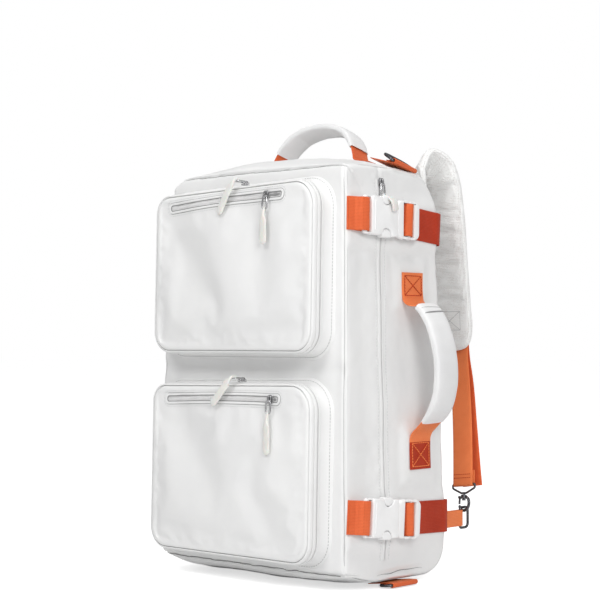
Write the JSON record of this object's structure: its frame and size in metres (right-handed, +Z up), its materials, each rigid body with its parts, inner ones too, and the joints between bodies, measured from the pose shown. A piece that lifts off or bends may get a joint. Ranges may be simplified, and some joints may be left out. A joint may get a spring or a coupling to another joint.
{
  "type": "tennis bag",
  "caption": "Tall boxy tennis backpack of white coated fabric with zipped front pockets, buckled side straps, carry handles and padded shoulder straps on snap hooks.",
  "frame": {"origin": "on the flat patch of the bottom that the bag stands on, below the middle of the body's width", "axes": "+Z up, +X to the right of someone facing the front pockets, towards the zipped side, +Y to the back, towards the shoulder straps"},
  "size_m": [0.4251, 0.3533, 0.6492],
  "materials": {
    "coated_fabric": "smooth coated white fabric, softly wrinkled at its seams",
    "pad_fabric": "off-white padded fabric with fine ribs and bound edges",
    "webbing": "orange webbing with a satin ribbed weave",
    "buckle_plastic": "satin white moulded plastic",
    "nickel": "bright nickel plate",
    "gunmetal": "black nickel plate",
    "zip_tape": "light grey woven tape",
    "zip_pull": "off-white soft rubber"
  },
  "bodies": {
    "root": {"front_panel": "coated_fabric", "top_panel": "coated_fabric", "back_panel": "coated_fabric", "bottom_panel": "coated_fabric", "side_panel_right": "coated_fabric", "side_panel_left": "coated_fabric", "top_port_binding": "coated_fabric", "side_zip_tape": "zip_tape", "side_zip_slider": "nickel", "side_zip_pull": "zip_pull", "pocket_upper_shell": "coated_fabric", "pocket_upper_gusset_zip": "zip_tape", "pocket_upper_gusset_slider": "nickel", "pocket_upper_gusset_pull": "zip_pull", "pocket_upper_welt_zip": "zip_tape", "pocket_upper_welt_slider": "nickel", "pocket_upper_welt_pull": "zip_pull", "pocket_lower_shell": "coated_fabric", "pocket_lower_gusset_zip": "zip_tape", "pocket_lower_gusset_slider": "nickel", "pocket_lower_gusset_pull": "zip_pull", "pocket_lower_welt_zip": "zip_tape", "pocket_lower_welt_slider": "nickel", "pocket_lower_welt_pull": "zip_pull", "strap_upper_front": "webbing", "strap_upper_rear": "webbing", "strap_lower_front": "webbing", "strap_lower_rear": "webbing", "buckle_upper_female": "buckle_plastic", "buckle_upper_male": "buckle_plastic", "buckle_lower_female": "buckle_plastic", "buckle_lower_male": "buckle_plastic", "handle_side_tab_top": "webbing", "handle_side_tab_bottom": "webbing", "handle_side_sleeve": "pad_fabric", "handle_top_tab_left": "webbing", "handle_top_tab_right": "webbing", "handle_top_sleeve": "pad_fabric", "ring_loop_top": "webbing", "ring_loop_bottom": "webbing", "shoulder_pad_right": "pad_fabric", "shoulder_webbing_right": "webbing", "shoulder_tail_right": "webbing", "hook_eye_right": "gunmetal", "anchor_loop_right": "webbing", "anchor_ring_right": "gunmetal", "shoulder_pad_left": "pad_fabric", "shoulder_webbing_left": "webbing", "shoulder_tail_left": "webbing", "hook_eye_left": "gunmetal", "anchor_loop_left": "webbing", "anchor_ring_left": "gunmetal"},
    "hook_right": {"hook_body_right": "gunmetal"},
    "gate_right": {"hook_gate_right": "gunmetal"},
    "hook_left": {"hook_body_left": "gunmetal"},
    "gate_left": {"hook_gate_left": "gunmetal"},
    "ring_top": {"d_ring_top": "gunmetal"},
    "ring_bottom": {"d_ring_bottom": "gunmetal"}
  },
  "joints": [
    {"name": "hook_swivel_right", "type": "hinge", "parent": "root", "child": "hook_right", "pos_m": [0.16995, 0.16188, 0.11376], "axis": [-0.11, 0.155, 0.9818], "range_deg": [-20, 20]},
    {"name": "hook_gate_right", "type": "hinge", "parent": "hook_right", "child": "gate_right", "pos_m": [0.1636, 0.16105, 0.1085], "axis": [0, -0.9878, 0.1559], "range_deg": [0, 24], "stiffness_Nm_per_rad": 0.01, "springref_deg": -11.46},
    {"name": "hook_swivel_left", "type": "hinge", "parent": "root", "child": "hook_left", "pos_m": [-0.16995, 0.16188, 0.11376], "axis": [0.11, 0.155, 0.9818], "range_deg": [-20, 20]},
    {"name": "hook_gate_left", "type": "hinge", "parent": "hook_left", "child": "gate_left", "pos_m": [-0.1636, 0.16105, 0.1085], "axis": [0, 0.9878, -0.1559], "range_deg": [0, 24], "stiffness_Nm_per_rad": 0.01, "springref_deg": -11.46},
    {"name": "ring_swing_top", "type": "hinge", "parent": "root", "child": "ring_top", "pos_m": [0.16287, 0.03718, 0.57673], "axis": [-0.0534, 0.9755, -0.2136], "range_deg": [0, 155]},
    {"name": "ring_swing_bottom", "type": "hinge", "parent": "root", "child": "ring_bottom", "pos_m": [0.18627, 0.006, 0.00525], "axis": [0, -1, 0], "range_deg": [0, 180]}
  ]
}
